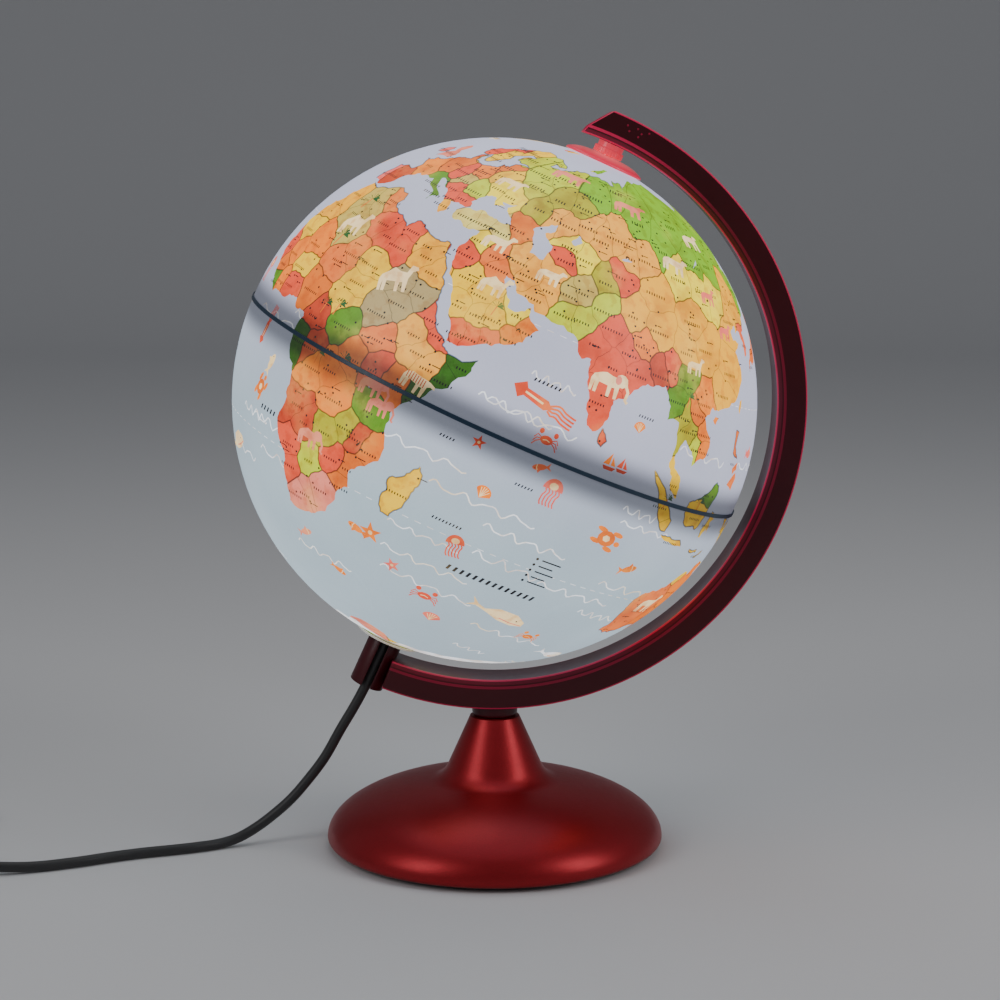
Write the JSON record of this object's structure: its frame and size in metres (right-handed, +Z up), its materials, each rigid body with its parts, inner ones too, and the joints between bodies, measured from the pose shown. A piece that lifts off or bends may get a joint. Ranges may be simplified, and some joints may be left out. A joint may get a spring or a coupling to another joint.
{
  "type": "illuminated desktop globe",
  "caption": "Lit desktop globe with a picture map, turning on a tilted axis in a C-shaped arm above a round domed base, with a mains lead, inline switch and plug.",
  "frame": {"origin": "centre of the foot pad's underside, on the surface the globe stands on", "axes": "+Z up; +X towards the side that the arm goes round and that the globe's axis leans to; -Y towards the viewer, who sees the arm edge on"},
  "size_m": [0.5906, 0.2616, 0.3698],
  "materials": {
    "base_lacquer": "satin, slightly metallic lacquer",
    "arm_plastic": "glossy, translucent dark red",
    "cap_plastic": "translucent, lit from inside",
    "map_print": "printed map on translucent plastic",
    "equator_tape": "satin",
    "white_plastic": "matt",
    "black_plastic": "fine matt grain",
    "lead_jacket": "satin",
    "steel": "zinc plated",
    "nickel": "bright",
    "brass": "bare",
    "ballast_iron": "rough",
    "pad_foam": "matt foam",
    "lamp_glass": "frosted"
  },
  "bodies": {
    "stand": {"base_shell": "base_lacquer", "base_cover": "black_plastic", "ballast_disc": "ballast_iron", "foot_pad": "pad_foam", "cover_screw_1": "steel", "cover_screw_2": "steel", "cover_screw_3": "steel", "cover_screw_4": "steel", "stem_bolt": "steel", "stem_washer": "steel", "arm_insert": "brass", "meridian_arm": "arm_plastic", "pivot_pin": "steel", "pivot_spacer": "cap_plastic", "lamp_carrier": "white_plastic", "carrier_screw": "steel", "cord_grip": "black_plastic", "socket_body": "white_plastic", "socket_shell": "nickel", "socket_contact": "brass", "bulb_contact": "nickel", "bulb_cap": "nickel", "bulb_glass": "lamp_glass", "bulb_stem": "lamp_glass", "bulb_filament": "nickel", "cord_lamp_to_switch": "lead_jacket", "switch_base": "black_plastic", "switch_cover": "black_plastic", "switch_screw_1": "steel", "switch_screw_2": "steel", "switch_contact": "brass", "cord_switch_to_coil": "lead_jacket", "cord_coil": "lead_jacket", "cord_tie": "black_plastic", "cord_coil_to_plug": "lead_jacket", "plug_body": "black_plastic", "plug_pin_1": "nickel", "plug_pin_2": "nickel"},
    "globe": {"north_hemisphere": "map_print", "south_hemisphere": "map_print", "equator_joint_ring": "white_plastic", "equator_band": "equator_tape", "north_cap": "cap_plastic", "cap_lock_washer": "steel", "south_bearing_ring": "white_plastic"},
    "rocker": {"switch_rocker": "black_plastic"}
  },
  "joints": [
    {"name": "globe_spin", "type": "hinge", "parent": "stand", "child": "globe", "pos_m": [0, 0, 0.227], "axis": [0.4131, 0, 0.9107], "continuous": true},
    {"name": "switch_rocker", "type": "hinge", "parent": "stand", "child": "rocker", "pos_m": [-0.293, -0.057, 0.0102], "axis": [0, 1, 0], "range_deg": [0, 14]}
  ]
}
